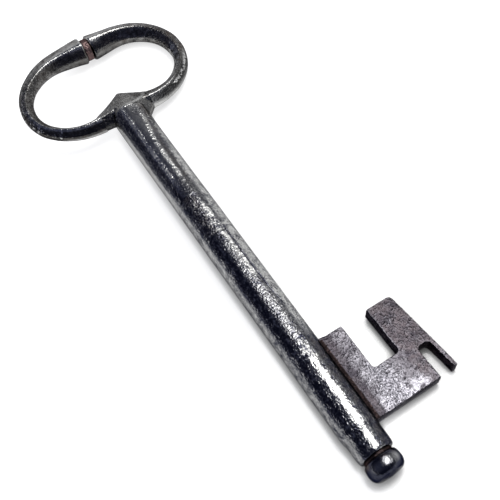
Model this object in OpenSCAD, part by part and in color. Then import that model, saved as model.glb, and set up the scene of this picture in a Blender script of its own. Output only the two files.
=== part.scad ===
// Antique iron key with a round solid shank, a lobed bow and a cut bit.
// The shank lies along X with its tip towards +X, the bit points to +Y,
// and the bow and the bit share the XY plane. The origin is on the shank's
// axis, level with the edge of the bit that is nearer the tip.

/* [Shank] */
// Diameter of the round shank along the bit, where it is straight
shank_d = 9.4; // [8:0.2:12]
// Diameter of the shank at the bow, from where it tapers evenly
shank_bow_d = 9.9; // [8:0.1:13]
// Length of the shank, from the bow's shoulder to the tip-side edge of the bit
shank_len = 107.2; // [70:0.2:150]
// How much the filed journal at the tip is thinner than the shank, all round
journal_step = 0.35; // [0.1:0.05:0.6]
// Length of the journal's straight part, from the tip-side edge of the bit
journal_len = 3.6; // [2:0.2:8]
// Length of the rounding between the journal and the tip groove
nose_len = 1.9; // [1:0.1:3]
// How far the rounding draws the shank's end in, all round
nose_drop = 0.35; // [0.2:0.05:1]

/* [Tip] */
// Width of the brazed groove behind the button
groove_w = 0.8; // [0.4:0.1:1.5]
// Depth of the groove below the shank's end face, all round
groove_depth = 0.5; // [0.2:0.1:1]
// Largest diameter of the button
button_d = 8.5; // [6:0.1:8.6]
// Diameter of the button's flat back
button_back_d = 7.4; // [5:0.1:7.6]
// Diameter of the button's nearly flat end
button_end_d = 5.4; // [3:0.1:6]
// Length of the button from its back to its end
button_len = 4.4; // [3:0.2:8]
// Diameter of the peg that holds the button in the shank
button_peg_d = 3.6; // [2:0.2:4.6]
// Length of that peg inside the shank
button_peg_len = 7; // [4:0.5:12]

/* [Bit] */
// Length of the bit along the shank
bit_len = 21.5; // [15:0.5:35]
// Thickness of the bit
bit_t = 3.8; // [2:0.2:5]
// Reach of the bit from the shank's axis at its bow-side corner
bit_reach_bow = 24.3; // [22:0.1:32]
// Reach of the bit from the shank's axis at its tip-side corner
bit_reach_tip = 26.3; // [24.5:0.1:34]
// Depth of the bit's tongue in the shank, from the shank's surface at the root
tongue_depth = 1.8; // [0.8:0.1:2.4]
// Radius of the rounded outer corner on the bow side
bit_corner_r = 0.9; // [0.4:0.1:2]
// Radius of the brazed fillet along the root
braze_r = 2.2; // [1:0.1:4]

/* [Ward cuts] */
// Distance from the shank's axis to the near wall of the wide cut
wide_cut_y = 10.6; // [8:0.1:12]
// Width of the wide cut
wide_cut_w = 6.9; // [4.5:0.1:8]
// Depth of the wide cut from the bow-side edge
wide_cut_depth = 11.8; // [6:0.1:13]
// Radius in the wide cut's inner corners
wide_cut_r = 0.8; // [0.2:0.1:1.5]
// Distance from the shank's axis to the near wall of the narrow cut
narrow_cut_y = 21.3; // [19.5:0.1:22]
// Depth of the narrow cut from the tip-side edge
narrow_cut_depth = 8.2; // [4:0.1:9]
// Radius in the narrow cut's inner corners
narrow_cut_r = 1; // [0.2:0.1:1.2]
// Thickness of the finger left outside the narrow cut
finger_t = 1.1; // [0.8:0.1:2]
// How much shorter the finger is than the bit
finger_short = 0.7; // [0.2:0.1:3]

/* [Bow] */
// Radius of each lobe, to the middle of its bar
lobe_r = 14.5; // [11:0.1:20]
// Distance from the shank's axis to the centre of each lobe
lobe_y = 9.1; // [8.6:0.1:14]
// Diameter of each arm's swelled head at the crown
head_d = 8.4; // [6.4:0.2:11]
// Diameter of the arm at its thinnest
waist_d = 3.6; // [3:0.1:5]
// How fast the right arm thins from its head, higher being faster
right_taper = 2.2; // [1.4:0.1:5]
// How fast the left arm thins from its head
left_taper = 3.3; // [1.4:0.1:5]
// Diameter of the arm's foot at the shoulder
foot_d = 5; // [4:0.1:7]
// Chamfer round the end of each head
head_chamfer = 0.7; // [0.3:0.1:1]

/* [Crown joint] */
// Distance of the joint from the shank's axis, towards the bit's side
crown_shift = 1.3; // [-3:0.1:3]
// Width of the brazed collar between the two heads
collar_w = 2; // [0.8:0.1:3]
// Diameter of the collar
collar_d = 6.6; // [5:0.1:7]
// Diameter of the peg that joins the heads
crown_peg_d = 3.2; // [2:0.1:3.8]
// Length of the peg inside each head
crown_peg_reach = 5; // [3:0.2:6]

/* [Shoulder] */
// Length of the shoulder from the shank's end to its peak
shoulder_len = 10.1; // [8:0.1:14]
// Width of the shoulder between the feet of the arms
shoulder_w = 16; // [12:0.2:17]
// Radius of the rounded peak
peak_r = 0.6; // [0.3:0.1:1.2]
// How much the shoulder's collar is thinner than the shank, all round
collar_step = 0.2; // [0.1:0.05:0.6]
// Diameter of the tenon in the shank
tenon_d = 4.6; // [3:0.1:5.4]
// Length of the tenon in the shank
tenon_len = 9; // [5:0.5:14]

/* [Hidden] */
$fn = 96;

// Clearance all round a peg or tenon in its hole, and past its end
seat_gap = 0.05;
end_gap = 0.3;
// Straight stretch of the shank left on the bow's side of the bit
bit_clear = 1;
// How far a cut runs past the face it opens
over = 1;
// Distance of the arms' feet from the shank's end
foot_gap = 0.1;
// Thickness of the discs and feet that the shoulder is spanned between
disc_t = 0.5;
// How suddenly an arm swells again at its foot, higher being later
foot_rate = 16;
// Where the button is thickest, and where its rounding ends, as shares of it
button_rim_at = 0.45;
button_end_at = 0.92;
// Sides of an arm, and the number of steps along it
arm_sides = 20;
arm_steps = 44;
hull_fn = 32;
// Facets on each curved side of the brazed fillets
fillet_steps = 6;

shank_r = shank_d / 2;
shank_bow_r = shank_bow_d / 2;
journal_r = shank_r - journal_step;
nose_r = journal_r - nose_drop;
groove_r = nose_r - groove_depth;
tip_x = journal_len + nose_len;
button_x = tip_x + groove_w;
bit_half = bit_t / 2;
root_y = sqrt(shank_r * shank_r - bit_half * bit_half);
tongue_y = root_y - tongue_depth;
head_r = head_d / 2;
waist_r = waist_d / 2;
foot_r = foot_d / 2;
shoulder_x = -shank_len;
foot_x = shoulder_x - foot_r - foot_gap;
lobe_x = foot_x - lobe_r;
crown_x = lobe_x - lobe_r;
lobe_run = PI * lobe_r;
foot_run = lobe_y - shoulder_w / 2;

IRON = [0.17, 0.17, 0.19];
PLATE = [0.34, 0.31, 0.32];
BRAZE = [0.33, 0.22, 0.18];

// Turns a shape drawn round Z so that it lies along +X from x = at
module along_x(at = 0) translate([at, 0, 0]) rotate([0, 90, 0]) children();

// Radius of an arm at the share u of its length, from head to foot
function arm_r(u, taper) = waist_r + (head_r - waist_r) * pow(max(0, 1 - u), taper)
    + (foot_r - waist_r) * pow(u, foot_rate);

// Middle of an arm's bar at the distance s from the start of its lobe. It is
// negative on the straight run to the head, and above lobe_run at the foot.
function arm_point(s) =
    s < 0 ? [crown_x, lobe_y + s]
    : s < lobe_run ? let (t = s / lobe_r * 180 / PI)
        [lobe_x - lobe_r * cos(t), lobe_y + lobe_r * sin(t)]
    : [foot_x, lobe_y - (s - lobe_run)];

// Outward direction across the bar at the same distance
function arm_normal(s) =
    let (t = max(0, min(180, s / lobe_r * 180 / PI)))
    [-cos(t), sin(t)];

// One ring of points round the bar
function arm_ring(s, r) =
    let (p = arm_point(s), n = arm_normal(s))
    [for (k = [0 : arm_sides - 1])
        let (a = 360 * k / arm_sides)
        [p.x + r * cos(a) * n.x, p.y + r * cos(a) * n.y, r * sin(a)]];

// Bar of an arm on the +Y side, whose head ends at y = head_y
module arm_bar(head_y, taper) {
    start = head_y - lobe_y;
    run = lobe_run + foot_run - start;
    points = [
        each arm_ring(start, arm_r(0, taper) - head_chamfer),
        for (i = [0 : arm_steps])
            let (s = head_chamfer + (run - head_chamfer) * i / arm_steps)
            each arm_ring(start + s, arm_r(s / run, taper))
    ];
    rings = arm_steps + 2;
    faces = [
        [for (k = [0 : arm_sides - 1]) k],
        for (j = [0 : rings - 2], k = [0 : arm_sides - 1])
            let (a = j * arm_sides + k,
                b = j * arm_sides + (k + 1) % arm_sides)
            each [[a, a + arm_sides, b + arm_sides], [a, b + arm_sides, b]],
        [for (k = [arm_sides - 1 : -1 : 0]) (rings - 1) * arm_sides + k]
    ];
    polyhedron(points, faces, convexity = 6);
}

// The same arm drilled for the crown peg
module arm(head_y, taper) {
    difference() {
        arm_bar(head_y, taper);
        translate([crown_x, head_y - over, 0]) rotate([-90, 0, 0])
            cylinder(r = crown_peg_d / 2 + seat_gap,
                h = over + crown_peg_reach + end_gap);
    }
}

module shank() color(IRON) {
    difference() {
        along_x() rotate_extrude() polygon([
            [0, shoulder_x], [shank_bow_r, shoulder_x],
            [shank_r, -bit_len - bit_clear], [shank_r, 0],
            [journal_r, 0], [journal_r, journal_len],
            for (a = [15 : 15 : 90])
                [nose_r + nose_drop * cos(a), journal_len + nose_len * sin(a)],
            [0, tip_x]
        ]);
        // Socket for the shoulder's tenon
        along_x(shoulder_x - over)
            cylinder(r = tenon_d / 2 + seat_gap, h = over + tenon_len + end_gap);
        // Socket for the button's peg
        along_x(tip_x - button_peg_len - end_gap)
            cylinder(r = button_peg_d / 2 + seat_gap,
                h = button_peg_len + end_gap + over);
        // Mortise for the bit's tongue
        translate([-bit_len, tongue_y, -bit_half])
            cube([bit_len, shank_r, bit_t]);
    }
}

module bow_shoulder() color(IRON) {
    hull() {
        along_x(shoulder_x - disc_t)
            cylinder(r = shank_bow_r - collar_step, h = disc_t, $fn = hull_fn);
        translate([shoulder_x - shoulder_len + peak_r, 0, 0])
            sphere(r = peak_r, $fn = 16);
        for (side = [-1, 1])
            translate([foot_x, side * (shoulder_w - disc_t) / 2, 0])
                rotate([90, 0, 0])
                    cylinder(r = foot_r, h = disc_t, center = true, $fn = arm_sides);
    }
    // Tenon, rooted inside the shoulder
    along_x(shoulder_x - disc_t)
        cylinder(r = tenon_d / 2, h = disc_t + tenon_len);
}

module bow_right_arm() color(IRON)
    arm(crown_shift + collar_w / 2, right_taper);

module bow_left_arm() color(IRON)
    mirror([0, 1, 0]) arm(-crown_shift + collar_w / 2, left_taper);

module crown_peg() color(IRON) {
    translate([crown_x, crown_shift, 0]) rotate([90, 0, 0])
        cylinder(r = crown_peg_d / 2, h = collar_w + 2 * crown_peg_reach,
            center = true);
}

module crown_collar() color(BRAZE) {
    translate([crown_x, crown_shift, 0]) rotate([90, 0, 0]) difference() {
        cylinder(r = collar_d / 2, h = collar_w, center = true);
        cylinder(r = crown_peg_d / 2 + seat_gap, h = collar_w + 2 * over,
            center = true);
    }
}

// Rectangle between two corners, its corners rounded by r
module round_box(x0, y0, x1, y1, r) {
    hull() for (x = [x0 + r, x1 - r], y = [y0 + r, y1 - r])
        translate([x, y]) circle(r, $fn = 24);
}

// Outline of the bit, its tongue included
module bit_outline() {
    slope = (bit_reach_tip - bit_reach_bow) / bit_len;
    finger_y = bit_reach_tip - slope * finger_short;
    difference() {
        polygon([
            [-bit_len, tongue_y], [0, tongue_y], [0, bit_reach_tip],
            [-bit_len + bit_corner_r, bit_reach_bow + slope * bit_corner_r],
            [-bit_len + 0.3 * bit_corner_r, bit_reach_bow - 0.3 * bit_corner_r],
            [-bit_len, bit_reach_bow - bit_corner_r]
        ]);
        round_box(-bit_len - 2 * wide_cut_r - over, wide_cut_y,
            -bit_len + wide_cut_depth, wide_cut_y + wide_cut_w, wide_cut_r);
        // Narrow cut, its outer wall along the finger
        hull() {
            for (y = [narrow_cut_y + narrow_cut_r,
                    bit_reach_tip - slope * narrow_cut_depth - finger_t
                        - narrow_cut_r])
                translate([-narrow_cut_depth + narrow_cut_r, y])
                    circle(narrow_cut_r, $fn = 24);
            translate([0, narrow_cut_y]) square([over,
                bit_reach_tip - finger_t - narrow_cut_y]);
        }
        translate([-finger_short, finger_y - 2 * finger_t])
            square([finger_short + over, 3 * finger_t]);
    }
}

module bit() color(PLATE)
    translate([0, 0, -bit_half]) linear_extrude(bit_t) bit_outline();

// Brazed fillet along the upper side of the bit's root, drawn in flat facets
module root_fillet() {
    centre_z = bit_half + braze_r;
    centre_y = sqrt(pow(shank_r + braze_r, 2) - centre_z * centre_z);
    touch_a = asin(centre_z / (shank_r + braze_r));
    root_a = asin(bit_half / shank_r);
    translate([-bit_len, 0, 0]) rotate([90, 0, 90]) linear_extrude(bit_len)
        polygon([
            for (i = [0 : fillet_steps])
                let (a = touch_a + 180 + (90 - touch_a) * i / fillet_steps)
                [centre_y + braze_r * cos(a), centre_z + braze_r * sin(a)],
            for (i = [0 : fillet_steps - 1])
                let (a = root_a + (touch_a - root_a) * i / fillet_steps)
                [shank_r * cos(a), shank_r * sin(a)]
        ]);
}

module bit_braze_top() color(BRAZE) root_fillet();

module bit_braze_bottom() color(BRAZE) mirror([0, 0, 1]) root_fillet();

module tip_braze() color(BRAZE) {
    along_x(tip_x) difference() {
        cylinder(r = groove_r, h = groove_w);
        translate([0, 0, -over])
            cylinder(r = button_peg_d / 2 + seat_gap, h = groove_w + 2 * over);
    }
}

module tip_button() color(IRON) {
    rim = button_d / 2;
    back = button_back_d / 2;
    front = button_end_d / 2;
    along_x(button_x) rotate_extrude() polygon([
        [0, -groove_w - button_peg_len],
        [button_peg_d / 2, -groove_w - button_peg_len],
        [button_peg_d / 2, 0], [back, 0],
        for (a = [15 : 15 : 90])
            [back + (rim - back) * sin(a),
                button_len * button_rim_at * (1 - cos(a))],
        for (a = [15 : 15 : 90])
            [front + (rim - front) * cos(a),
                button_len * (button_rim_at
                    + (button_end_at - button_rim_at) * sin(a))],
        [0, button_len]
    ]);
}

shank();
bow_shoulder();
bow_left_arm();
bow_right_arm();
crown_peg();
crown_collar();
bit();
bit_braze_top();
bit_braze_bottom();
tip_braze();
tip_button();
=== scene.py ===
import bmesh
import bpy
import math
import numpy as np
from mathutils import Matrix, Vector, noise


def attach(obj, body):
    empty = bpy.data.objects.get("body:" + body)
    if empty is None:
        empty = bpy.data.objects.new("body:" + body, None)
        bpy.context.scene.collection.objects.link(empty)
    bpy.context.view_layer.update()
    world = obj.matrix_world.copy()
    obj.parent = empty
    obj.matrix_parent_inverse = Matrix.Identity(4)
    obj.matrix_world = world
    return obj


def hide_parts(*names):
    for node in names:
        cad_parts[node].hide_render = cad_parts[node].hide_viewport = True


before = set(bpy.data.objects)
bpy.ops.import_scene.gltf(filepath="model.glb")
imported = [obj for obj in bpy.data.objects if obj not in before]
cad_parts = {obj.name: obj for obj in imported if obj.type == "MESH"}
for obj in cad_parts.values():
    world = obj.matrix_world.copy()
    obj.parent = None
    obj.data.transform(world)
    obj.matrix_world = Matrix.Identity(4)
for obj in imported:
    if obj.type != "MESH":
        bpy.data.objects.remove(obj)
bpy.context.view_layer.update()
scene = bpy.context.scene
scene.view_settings.view_transform = "Standard"

# Camera at the photograph's place: beyond the tip and a little to the side away
# from the bit, looking down on the key.
camera_data = bpy.data.cameras.new("camera")
camera_data.lens = 51.73
camera_data.sensor_width = 36
camera = bpy.data.objects.new("camera", camera_data)
scene.collection.objects.link(camera)
camera_right = Vector((0.5318, 0.8440, -0.0700))
camera_up = Vector((-0.7085, 0.4887, 0.5092))
camera_back = Vector((0.4639, -0.2212, 0.8578))
camera_pose = Matrix((camera_right, camera_up, camera_back)).transposed().to_4x4()
camera_pose.translation = Vector((0.03057, -0.03448, 0.15159))
camera.matrix_world = camera_pose
scene.camera = camera


# Glossy white table. The key lies on the shank's underside and on a corner of
# the bit, so the table is tilted about 6 degrees to the key's own plane. The
# rim is far off and curves up, as a studio sweep does.
def new_material(name):
    material = bpy.data.materials.new(name)
    material.use_nodes = True
    tree = material.node_tree
    tree.nodes.clear()
    return material, tree, tree.nodes.new("ShaderNodeOutputMaterial").inputs["Surface"]


def plug(tree, value, socket):
    """Link an output to a socket, or set the socket to a plain value."""
    if isinstance(value, bpy.types.NodeSocket):
        tree.links.new(value, socket)
    else:
        socket.default_value = value


def math_node(tree, operation, a, b, clamp=False):
    node = tree.nodes.new("ShaderNodeMath")
    node.operation = operation
    node.use_clamp = clamp
    plug(tree, a, node.inputs[0])
    plug(tree, b, node.inputs[1])
    return node.outputs[0]


def mapped(tree, value, low, high, to_low=0, to_high=1):
    """Map the range from low to high onto another one, clamped at its ends."""
    node = tree.nodes.new("ShaderNodeMapRange")
    for label, wanted in (("Value", value), ("From Min", low), ("From Max", high),
            ("To Min", to_low), ("To Max", to_high)):
        plug(tree, wanted, node.inputs[label])
    return node.outputs[0]


def colour_mix(tree, factor, a, b):
    node = tree.nodes.new("ShaderNodeMix")
    node.data_type = "RGBA"
    for label, wanted in (("Factor", factor), ("A", a), ("B", b)):
        plug(tree, wanted, node.inputs[label])
    return node.outputs["Result"]


under_axis = 0.00472
table_up = Vector((-0.00233, -0.1070, 0.99426)).normalized()
middle = Vector((-0.06, 0, 0))
sweep = [(0.0001, 0), (0.3, 0), (0.9, 0), (1.2, 0.02), (1.32, 0.08), (1.36, 0.2), (1.38, 0.52)]
sweep_sides = 96
verts, faces = [], []
for r, z in sweep:
    for k in range(sweep_sides):
        a = 2 * math.pi * k / sweep_sides
        verts.append((r * math.cos(a), r * math.sin(a), z))
for j in range(len(sweep) - 1):
    for k in range(sweep_sides):
        a = j * sweep_sides + k
        b = j * sweep_sides + (k + 1) % sweep_sides
        faces.append((a, b, b + sweep_sides, a + sweep_sides))
mesh = bpy.data.meshes.new("table")
mesh.from_pydata(verts, [], faces)
mesh.polygons.foreach_set("use_smooth", [True] * len(faces))
table = bpy.data.objects.new("table", mesh)
scene.collection.objects.link(table)
table_at = middle - table_up * (table_up.dot(middle) + under_axis)
table_tilt = table_up.to_track_quat("Z", "X").to_matrix().to_4x4()
table.matrix_world = Matrix.Translation(table_at) @ table_tilt

table_white, tree, surface = new_material("table_white")
gloss = tree.nodes.new("ShaderNodeBsdfPrincipled")
gloss.inputs["Roughness"].default_value = 0.16
gloss.inputs["IOR"].default_value = 1.5
rays = tree.nodes.new("ShaderNodeLightPath").outputs
seen = math_node(tree, "MAXIMUM", rays["Is Camera Ray"], rays["Is Glossy Ray"])
seen = math_node(tree, "MAXIMUM", seen, rays["Is Transmission Ray"])
position = tree.nodes.new("ShaderNodeNewGeometry").outputs["Position"]
# Its own white, for the camera and in mirrors, is a little weaker near the bit. Further off it glows
# full white by itself, which hides the lamp's shadow there
from_bit = tree.nodes.new("ShaderNodeVectorMath")
from_bit.operation = "DISTANCE"
from_bit.inputs[1].default_value = (-0.02, 0, 0)
tree.links.new(position, from_bit.inputs[0])
whiteness = mapped(tree, from_bit.outputs["Value"], 0.06, 0.125, 0.80, 1)
# Contact shadow in the last 3 mm, faint at the bow and deep at the bit
near = tree.nodes.new("ShaderNodeAmbientOcclusion")
near.samples = 8
near.inputs["Distance"].default_value = 0.003
along = tree.nodes.new("ShaderNodeSeparateXYZ")
tree.links.new(position, along.inputs[0])
depth = mapped(tree, along.outputs["X"], -0.115, -0.02, 0.25, 2.4)
contact = math_node(tree, "POWER", near.outputs["AO"], depth)
paint = colour_mix(tree, contact, (0, 0, 0, 1), (0.42, 0.42, 0.42, 1))
tree.links.new(paint, gloss.inputs["Base Color"])
glow = tree.nodes.new("ShaderNodeEmission")
strength = math_node(tree, "MULTIPLY", seen, math_node(tree, "MULTIPLY", contact, whiteness))
tree.links.new(strength, glow.inputs["Strength"])
both = tree.nodes.new("ShaderNodeAddShader")
tree.links.new(gloss.outputs[0], both.inputs[0])
tree.links.new(glow.outputs[0], both.inputs[1])
tree.links.new(both.outputs[0], surface)
mesh.materials.append(table_white)


# Soft lamp. One white cloth panel hangs overhead, a little to the bit's side,
# and gives the worn metal its broad highlight.
panel = bpy.data.lights.new("lamp_main", "AREA")
panel.shape = "RECTANGLE"
panel.size = 0.40
panel.size_y = 0.36
panel.color = (1.0, 0.99, 0.97)
panel_brightness = 8.5
panel.energy = panel_brightness * math.pi * panel.size * panel.size_y
lamp = bpy.data.objects.new("lamp_main", panel)
scene.collection.objects.link(lamp)
lamp_at = Vector((-0.09, 0.17, 0.60))
lamp_aim = Vector((-0.03, 0, 0))
lamp_back = (lamp_at - lamp_aim).normalized()
lamp_right = Vector((1, 0, 0))
lamp_right = (lamp_right - lamp_back * lamp_right.dot(lamp_back)).normalized()
lamp_pose = Matrix((lamp_right, lamp_back.cross(lamp_right), lamp_back)).transposed().to_4x4()
lamp_pose.translation = lamp_at
lamp.matrix_world = lamp_pose
lamp.visible_camera = False


# Dark card. It stands in a half circle round the side away from the lamp. Only
# the metal mirrors it, which keeps the shank's far side dark and bluish.
card_r = 0.5
card_steps = 32
verts, faces = [], []
for k in range(card_steps + 1):
    a = math.radians(-165 + 180 * k / card_steps)
    for z in (0.05, 0.60):
        verts.append((middle.x + card_r * math.cos(a), card_r * math.sin(a), z))
    if k:
        faces.append((2 * k - 2, 2 * k, 2 * k + 1, 2 * k - 1))
mesh = bpy.data.meshes.new("dark_card")
mesh.from_pydata(verts, [], faces)
card = bpy.data.objects.new("dark_card", mesh)
scene.collection.objects.link(card)
for ray in ("camera", "diffuse", "shadow", "transmission"):
    setattr(card, "visible_" + ray, False)
card_black, tree, surface = new_material("card_black")
glow = tree.nodes.new("ShaderNodeEmission")
glow.inputs["Color"].default_value = (0.55, 0.6, 1, 1)
glow.inputs["Strength"].default_value = 0.16
tree.links.new(glow.outputs[0], surface)
mesh.materials.append(card_black)


# Room. It is dim and bluish on the card's side and pale grey on the bit's side,
# so that the metal has something to mirror all round.
world = bpy.data.worlds.new("world")
scene.world = world
world.use_nodes = True
tree = world.node_tree
tree.nodes.clear()
towards_bit = tree.nodes.new("ShaderNodeVectorMath")
towards_bit.operation = "DOT_PRODUCT"
towards_bit.inputs[1].default_value = (-0.45, 0.85, -0.25)
tree.links.new(tree.nodes.new("ShaderNodeTexCoord").outputs["Generated"], towards_bit.inputs[0])
fade = mapped(tree, towards_bit.outputs["Value"], -0.1, 1.0)
fade.node.interpolation_type = "SMOOTHSTEP"
tint = colour_mix(tree, fade, (0.045, 0.055, 0.115, 1), (0.60, 0.60, 0.60, 1))
background = tree.nodes.new("ShaderNodeBackground")
tree.links.new(tint, background.inputs["Color"])
tree.links.new(background.outputs[0], tree.nodes.new("ShaderNodeOutputWorld").inputs["Surface"])


# Shank. One forged and filed round bar of wrought iron. Its bow half is left
# with hammered flats and ridges, a lap seam shows in the middle, and the tip
# half is worn bright along the top, with a painted highlight laid along that wear.
def grain(points, size, octaves=3, shift=0.0):
    """Smooth noise, about -1 to 1, at points in mm; size is how long its grains are."""
    move = Vector((shift, shift * 1.7, shift * 0.3))
    values = []
    for point in points.reshape(-1, 3) / np.array(size):
        at = Vector(point) + move
        values.append(noise.fractal(at, 0.7, 2.0, octaves, noise_basis="PERLIN_ORIGINAL"))
    return np.array(values).reshape(points.shape[:-1])


def rise(a, b, x):
    """0 below a, 1 above b, smooth between them."""
    t = np.clip((x - a) / (b - a), 0, 1)
    return t * t * (3 - 2 * t)


def zone(a, b, c, d, x):
    """1 between b and c, 0 below a and above d, smooth between them."""
    return rise(a, b, x) * (1 - rise(c, d, x))


def hump(x, centre, width):
    return np.exp(-((x - centre) / width) ** 2)


def lay(old, new, where):
    """Bring a mask from its old level to a new one where another mask says."""
    return old + (new - old) * where


def flat_between(deg, a, b, share):
    """How far a flat from angle a to b lies below the round, as a share of the radius."""
    half = (b - a) / 2
    off = np.abs(deg - (a + b) / 2)
    cut = 1 - np.cos(np.radians(half)) / np.cos(np.radians(np.minimum(off, 80)))
    return np.where(off < half, cut, 0) * share


def finish_piece(obj, skin, material, slot, *nodes):
    """Store the masks of wear, rust and painted highlights, set the material and hand the piece to the
    frame.
    """
    mesh = obj.data
    colour = mesh.color_attributes.new("skin", "FLOAT_COLOR", "POINT")
    data = np.ones((len(mesh.vertices), 4), np.float32)
    data[:, :3] = np.clip(skin, 0, 1)
    colour.data.foreach_set("color", data.ravel())
    mesh.polygons.foreach_set("use_smooth", np.ones(len(mesh.polygons), bool))
    mesh.materials.clear()
    mesh.materials.append(material)
    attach(obj, "root")
    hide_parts(*nodes)


def bar_piece(name, points, masks, material, slot, *nodes):
    """A closed piece from rings of points[ring][side] in millimetres, and its masks of wear and painted
    highlights.
    """
    rings, sides = points.shape[:2]
    verts = np.concatenate([points.reshape(-1, 3), [points[0].mean(0)], [points[-1].mean(0)]]) / 1000
    k = np.arange(sides)
    n = (k + 1) % sides
    j = np.arange(rings - 1)[:, None] * sides
    quads = np.stack([j + k, j + n, j + sides + n, j + sides + k], -1).reshape(-1, 4)
    first_centre, last_centre = rings * sides, rings * sides + 1
    last_ring = (rings - 1) * sides
    caps = np.concatenate([
        np.stack([np.full(sides, first_centre), n, k], -1),
        np.stack([np.full(sides, last_centre), last_ring + k, last_ring + n], -1),
    ])
    mesh = bpy.data.meshes.new(name)
    mesh.from_pydata(verts, [], quads.tolist() + caps.tolist())
    obj = bpy.data.objects.new(name, mesh)
    scene.collection.objects.link(obj)
    skin = np.stack(masks, -1)
    centres = np.stack([skin[0].mean(0), skin[-1].mean(0)])
    finish_piece(obj, np.concatenate([skin.reshape(-1, 3), centres]), material, slot, *nodes)


# Node group for the skin of all the old metal. The mesh colour "skin" holds how
# bare the metal is in red, together with painted highlights and painted reflections,
# how pitted in green and how rusty in blue.
skin_group = bpy.data.node_groups.new("old metal skin", "ShaderNodeTree")
for label, kind in (("Scale Colour", "Color"), ("Worn Colour", "Color"), ("Rust Colour", "Color"),
        ("Smoothest", "Float"), ("Roughest", "Float"), ("Contrast", "Float")):
    skin_group.interface.new_socket(label, in_out="INPUT", socket_type="NodeSocket" + kind)
for label, kind in (("Base Color", "Color"), ("Roughness", "Float"), ("Height", "Float")):
    skin_group.interface.new_socket(label, in_out="OUTPUT", socket_type="NodeSocket" + kind)
group_in = skin_group.nodes.new("NodeGroupInput").outputs
group_out = skin_group.nodes.new("NodeGroupOutput").inputs
on_piece = skin_group.nodes.new("ShaderNodeTexCoord").outputs["Object"]
stored = skin_group.nodes.new("ShaderNodeVertexColor")
stored.layer_name = "skin"
split = skin_group.nodes.new("ShaderNodeSeparateColor")
skin_group.links.new(stored.outputs["Color"], split.inputs[0])
wear_and_sheen_here, pitted_here, rusty_here = split.outputs


def speckle(scale, detail):
    node = skin_group.nodes.new("ShaderNodeTexNoise")
    node.inputs["Scale"].default_value = scale
    node.inputs["Detail"].default_value = detail
    node.inputs["Roughness"].default_value = 0.6
    skin_group.links.new(on_piece, node.inputs["Vector"])
    return node.outputs["Fac"]


def skin_math(operation, a, b, clamp=False):
    return math_node(skin_group, operation, a, b, clamp)


def skin_range(value, low, high, to_low=0, to_high=1):
    return mapped(skin_group, value, low, high, to_low, to_high)


fine = speckle(2300, 1.0)
cloud = speckle(430, 3.0)
fine_swing = skin_math("MULTIPLY", skin_math("ADD", pitted_here, 0.05), group_in["Contrast"])
fine_swing = skin_math("MULTIPLY", fine_swing, skin_range(fine, 0.3, 0.7, -1, 1))
cloud_swing = skin_math("ADD", skin_math("MULTIPLY", pitted_here, 0.12), 0.05)
cloud_swing = skin_math("MULTIPLY", cloud_swing, skin_range(cloud, 0.3, 0.7, -1, 1))
wear_and_sheen_total = skin_math("ADD", skin_math("ADD", wear_and_sheen_here, fine_swing), cloud_swing, True)
dull = colour_mix(skin_group, 0.45, group_in["Scale Colour"], group_in["Worn Colour"])
dull = colour_mix(skin_group, skin_range(wear_and_sheen_total, 0.0, 0.5), group_in["Scale Colour"], dull)
metal = colour_mix(skin_group, skin_range(wear_and_sheen_total, 0.5, 1.0), dull, group_in["Worn Colour"])
rust = skin_math("MULTIPLY", rusty_here, skin_range(cloud, 0.35, 0.6))
metal = colour_mix(skin_group, rust, metal, group_in["Rust Colour"])
skin_group.links.new(metal, group_out["Base Color"])
rough = skin_range(pitted_here, 0, 1, group_in["Smoothest"], group_in["Roughest"])
rough = skin_math("ADD", rough, skin_range(cloud, 0.3, 0.7, -0.04, 0.04))
skin_group.links.new(rough, group_out["Roughness"])
height = skin_math("MULTIPLY", fine, skin_range(pitted_here, 0, 1, 0.25, 1))
skin_group.links.new(height, group_out["Height"])


def skin_material(name, scale, worn_and_highlit, rust, smoothest, roughest, contrast, pit):
    """A metal with the node group's skin; pit is the depth of its finest pits in metres."""
    material, tree, surface = new_material(name)
    skin = tree.nodes.new("ShaderNodeGroup")
    skin.node_tree = skin_group
    for label, colour in (("Scale Colour", scale), ("Worn Colour", worn_and_highlit), ("Rust Colour", rust)):
        skin.inputs[label].default_value = (*colour, 1)
    for label, value in (("Smoothest", smoothest), ("Roughest", roughest), ("Contrast", contrast)):
        skin.inputs[label].default_value = value
    metal = tree.nodes.new("ShaderNodeBsdfPrincipled")
    metal.inputs["Metallic"].default_value = 1
    metal.inputs["Specular Tint"].default_value = (0.35, 0.35, 0.36, 1)
    bump = tree.nodes.new("ShaderNodeBump")
    bump.inputs["Distance"].default_value = pit
    tree.links.new(skin.outputs["Base Color"], metal.inputs["Base Color"])
    tree.links.new(skin.outputs["Roughness"], metal.inputs["Roughness"])
    tree.links.new(skin.outputs["Height"], bump.inputs["Height"])
    tree.links.new(bump.outputs[0], metal.inputs["Normal"])
    tree.links.new(metal.outputs[0], surface)
    return material


iron = skin_material("forged_iron_skin", scale=(0.028, 0.030, 0.044), worn_and_highlit=(0.47, 0.47, 0.46),
    rust=(0.070, 0.056, 0.047), smoothest=0.20, roughest=0.30, contrast=0.5, pit=0.00022)

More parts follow.
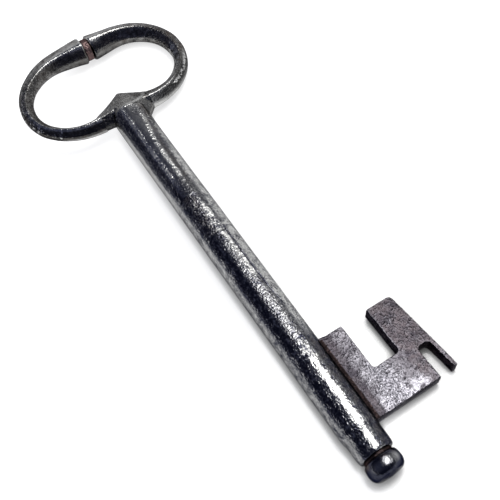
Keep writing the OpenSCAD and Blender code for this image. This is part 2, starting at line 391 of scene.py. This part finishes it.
# x runs along the bar in millimetres, deg round it from the top towards the bit
bow_end, bit_start, nose_end = -107.2, -22.5, 5.5
shank_r, bow_gain = 4.7, 0.25
journal_cut = 0.35
nose_round, nose_length = 0.35, 1.9
x = np.linspace(bow_end, nose_end, 560)[:, None]
sides = 176
deg = (np.arange(sides) * 360 / sides)[None, :]
deg = np.where(deg > 180, deg - 360, deg)
angle = np.radians(deg)
plain_r = np.where(x < bit_start, shank_r + bow_gain * (bit_start - x) / (bit_start - bow_end), shank_r)
plain_r = plain_r - journal_cut * rise(-1.2, 1.4, x)
nose = np.clip((x - nose_end + nose_length) / nose_length, 0, 1)
plain_r = plain_r - nose_round * (1 - np.sqrt(np.clip(1 - nose ** 2, 0, 1)))
plain = np.stack([x + 0 * angle, plain_r * np.sin(angle), plain_r * np.cos(angle)], -1)
broad = grain(plain, 9, 2, 3.0)
mottle = grain(plain, 1.6, 3, 8.0)
pits = grain(plain, (0.75, 0.55, 0.55), 2, 15.0)

# Ridges left by forging on the bow's half, each an angle that drifts along the bar
along = x[:, 0]
ridge_a = -20 + 1.5 * broad
ridge_b = np.interp(along, [-107, -103, -98, -94, -90, -84, -76], [31, 27, 20, 13, 8.5, 7, 8])
ridge_b = ridge_b[:, None] + 1.5 * broad
ridge_c = np.interp(along, [-107, -94, -88, -82, -76], [46, 43, 36, 31, 28])
ridge_c = ridge_c[:, None] + 1.5 * broad
bow_half = 1 - rise(-80, -71, x)
flats = 0
for start, end, share in ((-64, ridge_a, 0.7), (ridge_a, ridge_b, 0.8), (ridge_b, ridge_c, 0.8),
        (ridge_c, 84, 0.2)):
    flats = flats + flat_between(deg, start, end, share)
radius = plain_r * (1 - bow_half * flats)

# Lap seam, its edge an angle that wanders along the bar; past_seam is in millimetres
seam = np.interp(along, [-71, -66, -64.5, -61, -57, -51, -42, -38, -35, -33],
    [12, 16.5, 21, 20, 21.5, 21, 22, 23.5, 28, 32])[:, None]
past_seam = np.radians(deg - seam) * 4.8
lap = zone(-72, -70.5, -34.5, -32, x) * np.exp(-np.clip(past_seam, 0, None) / 2.5)
radius = radius - 0.14 * lap * rise(-0.05, 0.22, past_seam)
crack = zone(-60, -57, -34.5, -32, x)
radius = radius - 0.24 * crack * hump(past_seam, 0.15, 0.17)

# Rough scab that ends in a step, and the bulge of the bit's side
scab = zone(-71.6, -70.6, -57.9, -57.5, x) * rise(-42, -28, deg) * (1 - rise(-0.2, 0.05, past_seam))
radius = radius + scab * (0.03 + 0.07 * mottle) + 0.03 * broad - 0.02
radius = radius + (0.08 + 0.2 * (1 - rise(-106, -100, x))) * zone(30, 60, 110, 150, deg)

# Bow half: dark and blue flats between bright dotted ridges
wear_and_sheen = 0.22 + 0.10 * broad
pitted = np.full(wear_and_sheen.shape, 0.30)
smooth = 1 - rise(-85, -65, x)
speckled = rise(0.0, 0.45, 0.5 * mottle + 0.9 * pits + 0.3 * broad)
wear_and_sheen = lay(wear_and_sheen, (0.5 - 0.35 * smooth) * speckled, zone(-58, -50, -24, -16, deg))
top_flat = bow_half * rise(-17, -10, deg) * (1 - rise(-8, -1, deg - ridge_b))
wear_and_sheen = lay(wear_and_sheen, 0.40 + 0.25 * rise(-12, 8, deg), top_flat)
pitted = pitted * (1 - 0.8 * top_flat)
dots = rise(-0.3, 0.2, mottle + 0.5 * pits)
for ridge, width, shine, gap in ((ridge_a - 2, 8.5, 0.9, 0.4), (ridge_b, 6.5, 1.0, 0.6),
        (ridge_c, 4.0, 0.75, 0.9)):
    on_ridge = np.clip(1.5 * bow_half * hump(deg, ridge, width) * (1 - gap * (1 - dots)), 0, 1)
    wear_and_sheen = lay(wear_and_sheen, shine, on_ridge)
    pitted = np.maximum(pitted, 0.8 * on_ridge)
# A bright rim at the shank's bow end: edge wear with a painted highlight along it
bow_rim = (1 - rise(-105.5, -101, x + 1.5 * mottle)) * zone(-8, 12, 60, 80, deg)
wear_and_sheen = lay(wear_and_sheen, 0.30 + 0.45 * (1 - rise(-106.9, -105.0, x)), bow_rim)
pitted = np.maximum(pitted, 0.5 * bow_rim)

# Bit's side: mottled in patches along the bar
bit_side = np.maximum(rise(24, 40, deg), crack * rise(0.3, 0.8, past_seam)) * (1 - rise(-30, -20, x))
flecked = rise(-72, -62, x)
level = 0.28 + (0.22 + 0.25 * rise(-103, -96, x)) * (1 - rise(72, 92, deg))
level = level + 0.40 * mottle + 0.45 * pits * flecked
wear_and_sheen = lay(wear_and_sheen, level, bit_side * rise(0, 8, deg - ridge_c * bow_half))
pitted = np.maximum(pitted, (0.5 + 0.3 * flecked) * bit_side)

# Far side: a pale strip low down, smooth on the bow's half: a painted reflection of the table
far_side = rise(-98, -82, deg) * (1 - rise(-62, -54, deg + 6 * smooth + 4 * mottle))
far_side = far_side * (1 - 0.85 * rise(-78, -52, deg) * smooth)
level = 0.60 + 0.38 * smooth - 0.16 * rise(-60, -20, x) + (0.4 - 0.25 * smooth) * mottle
wear_and_sheen = lay(wear_and_sheen, level, far_side)
pitted = pitted * (1 - 0.6 * far_side * smooth)

# Middle: a smooth grey patch, then a worn band above the seam, partly a painted highlight, with grey
# pitted skin beside it
wear_and_sheen = lay(wear_and_sheen, 0.30, zone(-78, -76, -72.5, -70, x) * zone(4, 10, 26, 32, deg))
band = zone(-57.4, -56.6, -44, -39, x) * rise(-3, 7, deg + 4 * mottle)
band = band * (1 - rise(-0.35, -0.1, past_seam))
wear_and_sheen = lay(wear_and_sheen, 0.92, band * rise(-0.45, 0.05, 0.6 * mottle + 0.9 * pits))
pitted = np.maximum(pitted, 0.9 * band)
grey = zone(-57.4, -56, -27, -20, x) * rise(-26, -8, deg + 5 * mottle) * (1 - rise(20, 34, deg))
grey = grey * (1 - band) * (1 - crack * rise(0.2, 0.6, past_seam))
wear_and_sheen = lay(wear_and_sheen, 0.32 + 0.12 * mottle + 0.22 * pits, grey)
pitted = np.maximum(pitted, 0.45 * grey)

# Tip half: the bright worn stripe with ragged edges, partly a painted highlight, dark beside the bit
stripe = rise(-27, -19, x) * rise(-16, -8, deg + 4 * mottle + 8 * pits)
stripe = stripe * (1 - rise(8, 18, deg - 4 * mottle - 6 * pits))
broken = 0.6 * (1 - rise(-24, -12, x))
wear_and_sheen = lay(wear_and_sheen, 0.85, stripe * rise(-0.9, -0.2, 0.6 * mottle + 0.8 * pits - broken))
wear_and_sheen = np.maximum(wear_and_sheen, (0.40 + 0.2 * mottle) * rise(-27, -19, x) * zone(5, 12, 16, 30, deg))
pitted = lay(pitted, 0.30 + 0.6 * (1 - rise(-24, -14, x)), stripe)
fringe = rise(-27, -21, x) * zone(-30, -22, 15, 22, deg) * (1 - stripe)
wear_and_sheen = lay(wear_and_sheen, 0.35 * rise(-0.3, 0.4, mottle + pits), fringe)
pitted = np.maximum(pitted, 0.7 * fringe)
near_bit = rise(-26, -21, x) * zone(18, 32, 140, 160, deg)
wear_and_sheen = wear_and_sheen * (1 - 0.8 * near_bit)

# Scab with its lit edge and two spikes, the dark hollow after it, and the crack
wear_and_sheen = lay(wear_and_sheen, 0.10 + 0.30 * rise(0.0, 0.5, mottle), scab)
lit_end = rise(-66, -59, x) * rise(-10, 2, deg + 8 * mottle)
lit_edge = np.maximum(hump(past_seam, -0.4, 0.45), 0.9 * lit_end)
lit_edge = scab * np.maximum(lit_edge, rise(-8, 4, deg + 10 * mottle))
wear_and_sheen = lay(wear_and_sheen, 0.95, lit_edge * rise(-0.4, 0.1, mottle + 0.5 * pits))
pitted = np.maximum(pitted, 0.95 * scab)
spikes = hump(x, -59.5, 0.35) * (1 - rise(60, 80, deg)) + hump(x, -66.2, 0.3) * (1 - rise(26, 34, deg))
wear_and_sheen = lay(wear_and_sheen, 1, rise(18, 26, deg) * spikes)
wear_and_sheen = wear_and_sheen * (1 - 0.8 * zone(-57.7, -57.4, -55.5, -53.5, x) * zone(-16, -10, -2, 3, deg))
wear_and_sheen = lay(wear_and_sheen, -0.25, crack * hump(past_seam, 0.12, 0.24))
brown = bow_half * hump(deg, (ridge_b + ridge_c) / 2, 9)
brown = np.maximum(brown, (1 - rise(-102, -98, x)) * zone(38, 44, 80, 95, deg))
rusty = np.clip(0.4 * near_bit + 0.4 * scab * (1 - lit_edge) + 0.2 * broad + 0.45 * brown, 0, 1)
radius = radius - 0.09 * np.clip(pitted + 0.25 * mottle, 0, 1) * rise(0.05, 0.5, pits)
points = np.stack([x + 0 * angle, radius * np.sin(angle), radius * np.cos(angle)], -1)
bar_piece("shank_iron", points, (wear_and_sheen, pitted, rusty), iron, "forged_iron", "shank")


# Arms of the bow, left and right. Each is a tapering wrought bar, hammered into
# flats and bent round a lobe, with a swelled head at the crown and a thinner
# foot at the shoulder.
def flat_bar(deg, flats, sharp):
    """Radius of a bar with flats, each an angle and a distance, as a share of its round radius."""
    total = 0
    for at, reach in flats:
        total = total + (np.maximum(np.cos(np.radians(deg - at)), 0) / reach) ** sharp
    return total ** (-1 / sharp)


bow_iron = skin_material("bow_iron_skin", scale=(0.036, 0.036, 0.036), worn_and_highlit=(0.47, 0.47, 0.46),
    rust=(0.070, 0.058, 0.051), smoothest=0.20, roughest=0.32, contrast=0.5, pit=0.00022)
lobe_r, lobe_y, crown_x = 14.5, 9.1, -138.8
foot_length = 1.7
foot_r, head_gain = 1.8, 2.4
end_round, end_length = 0.6, 0.8
sides = 112
# Angles round the bar: 0 is outward, 90 up and 180 inward
deg = (np.arange(sides) * 360 / sides)[None, :]
up = np.where(deg > 270, deg - 360, deg)
cos_a, sin_a = np.cos(np.radians(deg)), np.sin(np.radians(deg))
# Each arm has its side, where its head ends, its taper, its grain, the tilt of its
# head's end, and how far its bend bulges outward at the places in bulge_at
bulge_at = [0, 0.05, 0.15, 0.22, 0.33, 0.42, 0.55, 0.7, 0.85, 1]
for name, side, head_y, taper, seed, tilt, bulges in (
        ("right", 1, 2.3, 2.2, 40.0, 0.35, [0, 0, 0, 0, 0, 0, 0, 0.3, 0.35, 0.2]),
        ("left", -1, -0.3, 3.3, 60.0, 0.0, [0, 0.25, 0.35, 0.1, -0.25, -0.2, -0.04, 0.4, 0.35, 0.35])):
    right, left = side > 0, side < 0
    # s is the length along the bar from its head, and u the same as a share, 0 to 1
    start = head_y - lobe_y
    run = math.pi * lobe_r + foot_length - start
    s = np.concatenate([[0, 0.12, 0.3, 0.5], np.linspace(0.7, run, 330)])[:, None]
    u = s / run
    bar_r = foot_r + head_gain * (1 - u) ** taper + 0.75 * u ** 7
    if right:
        bar_r = bar_r + 0.18 * hump(u, 0.5, 0.13) - 0.12 * hump(u, 0.15, 0.1)
        bar_r = bar_r + 0.12 * rise(0.65, 0.85, u)
    bar_r = bar_r - end_round * (1 - np.sqrt(1 - (1 - np.clip(s / end_length, 0, 1)) ** 2))
    # The bar's middle line: straight from the head, round the lobe, then straight into the shoulder
    way = start + s
    bend = np.clip(way / lobe_r, 0, math.pi)
    past_lobe = lobe_y - (way - math.pi * lobe_r)
    round_y = np.where(bend < math.pi, lobe_y + lobe_r * np.sin(bend), past_lobe)
    line_x = np.where(way < 0, crown_x, crown_x + lobe_r * (1 - np.cos(bend)))
    line_y = np.where(way < 0, lobe_y + way, round_y)
    out_x, out_y = -np.cos(bend), np.sin(bend)
    bulge = np.interp(u, bulge_at, bulges)
    line_x, line_y = line_x + bulge * out_x, line_y + bulge * out_y
    lean = tilt * cos_a * (1 - rise(0, 4, s))

    def on_bar(radius):
        across = radius * cos_a
        places = (line_x + across * out_x, side * (line_y + across * out_y - lean), radius * sin_a)
        return np.stack(np.broadcast_arrays(*places), -1)

    # Hammered flats: they twist along the bar, and the right arm's lean outward at both ends
    worked = 1 - 0.55 * rise(0.25, 0.5, u) + 0.45 * rise(0.6, 0.85, u)
    twist = rise(0.25, 0.65, u)
    drop = 17 * rise(0.75, 1.0, u) * right
    back = 10 * (1 - twist) * right
    flats = [(-4 * twist, 0.93), (72 - 26 * twist - 0.7 * drop - back, 0.87),
        (150 - 16 * twist - drop - back, 0.87), (200 - 14 * twist, 0.92), (246, 0.92), (306, 0.92)]
    round_off = rise(0.15, 0.4, u)
    shape = lay(flat_bar(deg, flats, 9), flat_bar(deg, flats, 16), round_off)
    shape = 1.025 * lay(1, shape, worked)
    plain = on_bar(bar_r)
    broad = grain(plain, 7, 2, seed)
    mottle = grain(plain, 1.5, 3, seed + 5)
    pits = grain(plain, 0.6, 2, seed + 9)
    # Parts of the bar: head, lobe and foot along it, the crest and the flats round it
    head = 1 - rise(0.28, 0.42, u)
    foot = rise(0.55, 0.75, u)
    lobe = (1 - head) * (1 - foot)
    head_start = 1 - rise(0.12, 0.25, u)
    crest = 111 - 21 * twist - drop - back - (4 + 4 * foot) * left
    crest_width = 13 - 4 * twist + 4 * foot + 6 * (1 - rise(0.03, 0.12, u))
    on_crest = hump(up, crest + 3 * broad, crest_width)
    outer_flat = rise(20, 40, up) * (1 - rise(-12, -5, up - crest))
    inner_flat = rise(5, 12, up - crest) * (1 - rise(235, 255, up))
    dark_in = inner_flat * (1 - rise(0.36, 0.48, u))
    # Head and lobe: pale outer flat, a painted highlight near the head's end, dark inner flat with a
    # paler rim below it
    wear_and_sheen = 0.26 + 0.12 * broad
    pitted = 0.25 + 0.45 * lobe
    level = 0.55 + 0.10 * side + 0.35 * mottle + 0.3 * (1 - rise(0.05, 0.12, u))
    wear_and_sheen = lay(wear_and_sheen, level, outer_flat * head)
    level = 0.06 + 0.04 * side + 0.15 * mottle + 0.12 * rise(150, 165, up)
    wear_and_sheen = lay(wear_and_sheen, level, dark_in)
    rim = (1 - head_start) * (1 - rise(0.45, 0.6, u)) * zone(185, 200, 235, 250, up)
    wear_and_sheen = lay(wear_and_sheen, 0.37 - 0.09 * side + 0.3 * mottle, rim)
    wear_and_sheen = wear_and_sheen + 0.3 * np.clip(mottle, 0, 1) * dark_in * (1 - head_start) * right
    pitted = pitted * (1 - 0.8 * dark_in * head_start)
    # Foot: dark under the crest, pale at the lower edge, a painted reflection of the table below
    under = (1 - rise(-14, -7, up - crest)) * foot
    darkest = -0.1 + 0.4 * rise(0.9, 1, u) * right
    wear_and_sheen = lay(wear_and_sheen, 0.9 * (1 - rise(-16, 12 + 18 * right, up)) + darkest, under)
    wear_and_sheen = lay(wear_and_sheen, 0.18 + 0.3 * right, inner_flat * foot)
    # Worn places of each arm, partly painted highlights on the crest and lobe, and how bright its crest
    # is along the bar
    dots = rise(-0.35, 0.15, mottle + 0.4 * pits)
    if right:
        crest_shine = 0.45 + 0.55 * (1 - rise(0.05, 0.1, u)) - 0.45 * rise(0.3, 0.38, u)
        worn_and_highlit = zone(0.58, 0.68, 0.84, 0.9, u) * hump(up, 52, 15) * rise(-0.15, 0.1, mottle + 0.3 * pits)
        wall = zone(0.52, 0.58, 0.8, 0.9, u) * rise(-5, 25, up - crest) * (1 - rise(185, 200, up))
        worn_and_highlit = np.maximum(worn_and_highlit, wall * rise(-0.2, 0.1, mottle + 0.5 * pits))
        pitted = np.maximum(pitted, worn_and_highlit)
        foot_crest = rise(0.78, 0.88, u) * hump(up, crest + 6, 14)
        worn_and_highlit = np.maximum(worn_and_highlit, foot_crest * (1 - 0.25 * (1 - dots)))
    else:
        crest_shine = 1 - 0.85 * rise(0.22, 0.32, u) + 0.75 * rise(0.5, 0.64, u)
        wall = zone(0.5, 0.6, 0.78, 0.86, u) * (1 - rise(50, 60, up))
        wear_and_sheen = lay(wear_and_sheen, 0.5 * np.clip(mottle, 0, 1) - 0.1, wall)
        worn_and_highlit = 0.6 * zone(0.3, 0.4, 0.76, 0.84, u) * hump(up, 62, 8) * (1 - 0.6 * (1 - dots))
        flecks = zone(0.42, 0.5, 0.8, 0.88, u) * zone(-5, 10, 95, 110, up)
        worn_and_highlit = np.maximum(worn_and_highlit, flecks * rise(0.3, 0.5, 0.6 * mottle + 0.9 * pits))
    gaps = (0.35 * head + 0.7 * lobe + 0.5 * foot) * (1 - dots)
    on_crest = np.clip(1.4 * on_crest, 0, 1) * np.clip(crest_shine, 0, 1)
    worn_and_highlit = np.maximum(worn_and_highlit, on_crest * (1 - gaps))
    wear_and_sheen = lay(wear_and_sheen, 0.95, np.clip(worn_and_highlit, 0, 1))
    pitted = np.maximum(pitted, 0.5 * worn_and_highlit)
    rusty = 0.35 + 0.35 * broad + 0.3 * inner_flat * foot + 0.15 * lobe
    rusty = rusty + 0.2 * (1 - dark_in) * (1 - foot) * right
    rusty = np.clip(rusty, 0, 1) * (1 - np.clip(worn_and_highlit, 0, 1)) * (1 - under * right)
    radius = bar_r * shape + 0.05 * broad - 0.03
    radius = radius - 0.07 * np.clip(pitted + 0.3 * mottle, 0, 1) * rise(0.05, 0.5, pits)
    points, masks = on_bar(radius), (wear_and_sheen, pitted, rusty)
    # The left arm is a mirror image, so its rings run the other way round
    if left:
        points, masks = points[:, ::-1], [mask[:, ::-1] for mask in masks]
    bar_piece("bow_arm_" + name, points, masks, bow_iron, "forged_iron", "bow_%s_arm" % name)


# Shoulder of the bow. A forged block that joins the two arms to the shank; its
# top slopes from the shank's end down to a rounded peak.
def edge_wear(mesh, points, normals, passes):
    """How convex the surface is at each point, spread over some passes."""
    edges = np.empty(len(mesh.edges) * 2, int)
    mesh.edges.foreach_get("vertices", edges)
    a, b = edges.reshape(-1, 2).T
    degree = np.bincount(np.concatenate([a, b]), minlength=len(points))[:, None]
    spread = points
    for _ in range(passes):
        total = np.zeros_like(spread)
        np.add.at(total, a, spread[b])
        np.add.at(total, b, spread[a])
        spread = total / degree
    return ((points - spread) * normals).sum(-1)


def reshape(obj, points):
    obj.data.vertices.foreach_set("co", (points / 1000).ravel())
    obj.data.update()


def even_mesh(obj, voxel, soften):
    """Remesh finely and evenly with softened edges; returns points in mm, and normals."""
    remesh = obj.modifiers.new("remesh", "REMESH")
    remesh.mode = "VOXEL"
    remesh.voxel_size = voxel / 1000
    relax = obj.modifiers.new("relax", "SMOOTH")
    relax.factor = 0.5
    relax.iterations = soften
    graph = bpy.context.evaluated_depsgraph_get()
    mesh = bpy.data.meshes.new_from_object(obj.evaluated_get(graph))
    obj.modifiers.clear()
    mesh.name = obj.name
    obj.data = mesh
    points = np.empty(len(mesh.vertices) * 3)
    mesh.vertices.foreach_get("co", points)
    normals = np.empty(len(mesh.vertices) * 3)
    mesh.vertices.foreach_get("normal", normals)
    return points.reshape(-1, 3) * 1000, normals.reshape(-1, 3)


# The roof between the shank's end and the peak
blank = bmesh.new()
for z in (1, -1):
    for corner in ((-117.2, 0.7, 0.45), (-116.7, 1.9, 0.45), (-113.1, 7.0, 0.9), (-110.4, 6.0, 2.1),
            (-108.9, 4.4, 3.2), (-109.6, -4.0, 2.3), (-114.3, -3.6, 0.7)):
        blank.verts.new(Vector((corner[0], corner[1], z * corner[2])) / 1000)
rim_r, rim_sides = 4.8, 64
for k in range(rim_sides):
    a = 2 * math.pi * k / rim_sides
    for at in (-107.0, -107.7):
        blank.verts.new(Vector((at, rim_r * math.sin(a), rim_r * math.cos(a))) / 1000)
bmesh.ops.convex_hull(blank, input=blank.verts)
# Webs that sweep from the roof's two ends into the arms, and one down to the shank
for corners in (((-114.6, -3.2, 0.6), (-112.5, -8.4, 0.2), (-110.4, -8.4, 1.0), (-109.8, -3.0, 2.3)),
        ((-113.5, 6.9, 0.7), (-112.5, 9.4, 0.2), (-110.9, 9.4, 1.0), (-110.2, 5.0, 2.2)),
        ((-103.9, 4.6, 0.8), (-106.9, 7.7, 0.8), (-110.6, 7.2, 2.1), (-112.2, 7.0, 1.2),
            (-108.6, 4.2, 3.3), (-110.2, 6.0, 2.8))):
    web = [blank.verts.new(Vector((a, b, z * c)) / 1000) for a, b, c in corners for z in (1, -1)]
    bmesh.ops.convex_hull(blank, input=web)
inside = [v for v in blank.verts if not v.link_faces]
bmesh.ops.delete(blank, geom=inside, context="VERTS")
# The bar across, which carries the two arms
bar_half, arm_r, middle_gain = 8.6, 2.4, 0.5
sides = 48
bar_y = np.linspace(-bar_half, bar_half, 40)[:, None]
bar_x = -109.85 - 0.05 * np.minimum(bar_y, 0) + 0.2 * rise(3, 8, bar_y)
bar_r = arm_r + middle_gain * (1 - rise(2, 8, np.abs(bar_y)))
bar_deg = (np.arange(sides) * 360 / sides)[None, :]
drop = 17 * rise(2, 8, bar_y)
bar_r = 1.025 * bar_r * flat_bar(bar_deg, [(-4, 0.93), (46 - 0.7 * drop, 0.87), (134 - drop, 0.87),
    (186, 0.92), (240, 0.92), (306, 0.92)], 16)
rings = []
for at_x, at_y, row in zip(bar_x[:, 0], bar_y[:, 0], bar_r):
    ring = []
    for r, a in zip(row, np.radians(bar_deg[0])):
        ring.append(blank.verts.new(Vector((at_x + r * math.cos(a), at_y, r * math.sin(a))) / 1000))
    rings.append(ring)
for one, two in zip(rings, rings[1:]):
    for k in range(sides):
        n = (k + 1) % sides
        blank.faces.new((one[k], one[n], two[n], two[k]))
blank.faces.new(rings[0][::-1])
blank.faces.new(rings[-1])
bmesh.ops.recalc_face_normals(blank, faces=blank.faces)
mesh = bpy.data.meshes.new("bow_shoulder_iron")
blank.to_mesh(mesh)
blank.free()
shoulder = bpy.data.objects.new("bow_shoulder_iron", mesh)
scene.collection.objects.link(shoulder)
points, normals = even_mesh(shoulder, voxel=0.15, soften=16)
wear = rise(0.02, 0.12, edge_wear(shoulder.data, points, normals, passes=12))
broad = grain(points, 5, 2, 80)
mottle = grain(points, 1.3, 3, 84)
pits = grain(points, 0.6, 2, 88)
# The roof faces up and back and is painted paler, a painted sheen; it also takes some rust
roof = rise(0.2, 0.6, normals[:, 2]) * rise(0.1, 0.35, -normals[:, 0])
wear_and_sheen = 0.14 + 0.08 * broad + 0.12 * mottle + (0.58 + 0.1 * broad) * roof
wear_and_sheen = lay(wear_and_sheen, 0.85, wear * rise(-0.5, 0.2, mottle))
# The web down to the shank is a plain grey, and the corner on the other side is dark
flare = zone(3.0, 4.0, 7.0, 7.8, points[:, 1]) * rise(0.1, 0.5, normals @ np.array([0.6, 0.6, 0.5]))
wear_and_sheen = lay(wear_and_sheen, 0.35, flare)
left_corner = rise(-109.5, -108.5, points[:, 0]) * (1 - rise(-5, -3.5, points[:, 1]))
wear_and_sheen = wear_and_sheen * (1 - 0.8 * left_corner)
# Bright lines along the roof's lower and upper edges: edge wear with a painted highlight
reach = np.full(len(points), 9.0)
lower_edge = ((-107.6, -1.5, 4.8), (-108.3, 2.2, 4.3), (-109.2, 4.6, 3.2), (-110.5, 6.0, 2.2),
    (-112.6, 7.0, 1.0))
upper_edge = ((-117.0, 0.7, 0.6), (-116.6, 1.9, 0.6), (-113.1, 7.0, 0.9))
for trail in (np.array(lower_edge), np.array(upper_edge)):
    for one, two in zip(trail, trail[1:]):
        step = two - one
        t = np.clip((points - one) @ step / (step @ step), 0, 1)
        reach = np.minimum(reach, np.linalg.norm(points - one - t[:, None] * step, axis=1))
wear_and_sheen = lay(wear_and_sheen, 0.95, 1 - rise(0.35, 0.75, reach))
pitted = (0.35 + 0.2 * mottle) * (1 - 0.8 * flare)
rusty = (0.25 * roof + 0.3 * flare + 0.2 * broad) * rise(0.3, 0.8, reach)
reshape(shoulder, points + normals * (0.04 * broad - 0.03 - 0.04 * rise(0.1, 0.5, pits))[:, None])
finish_piece(shoulder, np.stack([wear_and_sheen, pitted, rusty], -1), bow_iron, "forged_iron", "bow_shoulder")


# Bit. A thick plate of iron, filed to shape, with a wide ward cut from the bow
# side and a narrow one from the tip side. Its faces are pitted and brownish.
def copy_of(node, name):
    """A new object with a copy of a node's mesh."""
    obj = bpy.data.objects.new(name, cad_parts[node].data.copy())
    scene.collection.objects.link(obj)
    return obj


plate_iron = skin_material("bit_iron_skin", scale=(0.021, 0.019, 0.023), worn_and_highlit=(0.275, 0.268, 0.295),
    rust=(0.055, 0.046, 0.050), smoothest=0.27, roughest=0.34, contrast=0.50, pit=0.00028)
plate = copy_of("bit", "bit_plate")
points, normals = even_mesh(plate, voxel=0.14, soften=5)
wear = rise(0.02, 0.10, edge_wear(plate.data, points, normals, passes=10))
px, py, pz = points.T
broad = grain(points, 5, 2, 100)
# Streaks run at a slant over the faces, as the file left them
slant = np.array([[0.54, -0.84, 0], [0.84, 0.54, 0], [0, 0, 1]])
streak = grain(points @ slant.T, (2.2, 0.9, 1.2), 3, 104)
pits = grain(points, 0.42, 2, 108)
# Its faces: dark at the root, a bright glint along it, brighter still at the tip's
# edge, duller in the neck between the cuts, and brown in the outer part
face = rise(0.8, 0.95, np.abs(normals[:, 2]))
root = 1 - rise(5.9, 7.6, py)
glint = hump(py, 10.8, 3.0) * (0.15 + 0.85 * rise(-17, -7, px))
tip_edge = rise(-4.5, -1.0, px) * zone(6, 7.5, 18, 20, py)
neck = hump(px, -7.5, 4.5) * zone(13, 15, 20, 23, py)
outer = rise(17.5, 18.5, py)
wear_and_sheen = 0.17 + 0.10 * broad + (0.17 + 0.28 * glint) * streak + 0.68 * glint - 0.08 * neck
wear_and_sheen = wear_and_sheen - 0.12 * outer * (1 - rise(-12, -6, px))
wear_and_sheen = lay(wear_and_sheen, 1.1 - 0.3 * rise(15, 18, py), tip_edge * face * rise(-0.5, 0.2, streak))
wear_and_sheen = lay(wear_and_sheen, 0.6, 0.6 * wear)
wear_and_sheen = lay(wear_and_sheen, -0.1, root)
# The narrow walls: the one that faces the tip catches light in its lower half
wall_level = (0.12 + 0.6 * (1 - rise(-1.0, 0.0, pz))) * rise(0.6, 0.8, normals[:, 0])
wear_and_sheen = lay(wear_and_sheen, wall_level, (1 - face) * (1 - 0.6 * wear))
pitted = np.clip(0.18 + 0.8 * glint + 0.12 * outer - 0.1 * neck + 0.15 * streak, 0, 1)
rusty = np.clip(0.10 + 0.25 * broad + 0.6 * outer + 0.2 * root - 0.5 * tip_edge - 0.5 * glint, 0, 1)
# The edge on the bow's side stands a little further out, most at its root, and so
# does the finger's end
shift = np.zeros_like(points)
shift[:, 0] = -0.35 * (1 - rise(-21.5, -18, px))
shift[:, 0] -= 0.3 * (1 - rise(4.4, 6.8, py)) * (1 - rise(-21, -19, px))
shift[:, 0] += 0.4 * rise(21, 22.5, py) * rise(-4, 0, px)
unevenness = 0.05 * broad + 0.03 * streak - 0.05 - 0.04 * rise(0.0, 0.5, pits)
reshape(plate, points + shift + normals * unevenness[:, None])
finish_piece(plate, np.stack([wear_and_sheen, pitted, rusty], -1), plate_iron, "bit_iron", "bit")


# Old brazing. Brass run into the joints long ago and dulled to a reddish brown:
# the collar at the crown, the fillets along the bit and the ring at the button.
braze = skin_material("old_braze_skin", scale=(0.020, 0.015, 0.015), worn_and_highlit=(0.23, 0.155, 0.15),
    rust=(0.040, 0.026, 0.025), smoothest=0.34, roughest=0.50, contrast=0.4, pit=0.0002)
for node, seed, base_level in (("crown_collar", 120, 0.55), ("bit_braze_top", 130, -0.1),
        ("bit_braze_bottom", 140, 0.0), ("tip_braze", 150, 0.0)):
    seam_metal = copy_of(node, node + "_skin")
    points, normals = even_mesh(seam_metal, voxel=0.14, soften=4)
    broad = grain(points, 4, 2, seed)
    mottle = grain(points, 1.1, 3, seed + 4)
    wear_and_sheen = base_level + 0.1 * broad + 0.2 * mottle
    pitted = 0.5 + 0.3 * mottle
    rusty = np.clip(0.3 + 0.5 * broad, 0, 1)
    reshape(seam_metal, points + normals * (0.05 * broad + 0.06 * mottle - 0.03)[:, None])
    finish_piece(seam_metal, np.stack([wear_and_sheen, pitted, rusty], -1), braze, "old_braze", node)


# Button at the tip. A turned iron stud, pegged into the shank's end and worn
# smooth, with some rust left in the neck behind it.
button = copy_of("tip_button", "tip_button_iron")
points, normals = even_mesh(button, voxel=0.13, soften=5)
broad = grain(points, 4, 2, 160)
mottle = grain(points, 1.2, 3, 164)
# A ring round the button, kept where it faces up, is painted bright: wear with a painted highlight
worn_and_highlit_ring = hump(points[:, 0], 8.2, 1.1) * rise(0.4, 0.85, normals[:, 2])
wear_and_sheen = 0.05 * broad - 0.1 + 0.5 * worn_and_highlit_ring
pitted = 0.1 * mottle
rusty = np.clip(0.5 * (1 - rise(6.6, 8, points[:, 0])) * (1 + broad), 0, 1)
reshape(button, points + normals * (0.03 * broad - 0.02 + 0.015 * mottle)[:, None])
finish_piece(button, np.stack([wear_and_sheen, pitted, rusty], -1), iron, "forged_iron", "tip_button")


# Crown peg. A plain iron peg inside the collar and the two heads, out of sight,
# so it keeps its own solid and only gets the iron.
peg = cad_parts["crown_peg"]
peg.data.materials.clear()
peg.data.materials.append(iron)
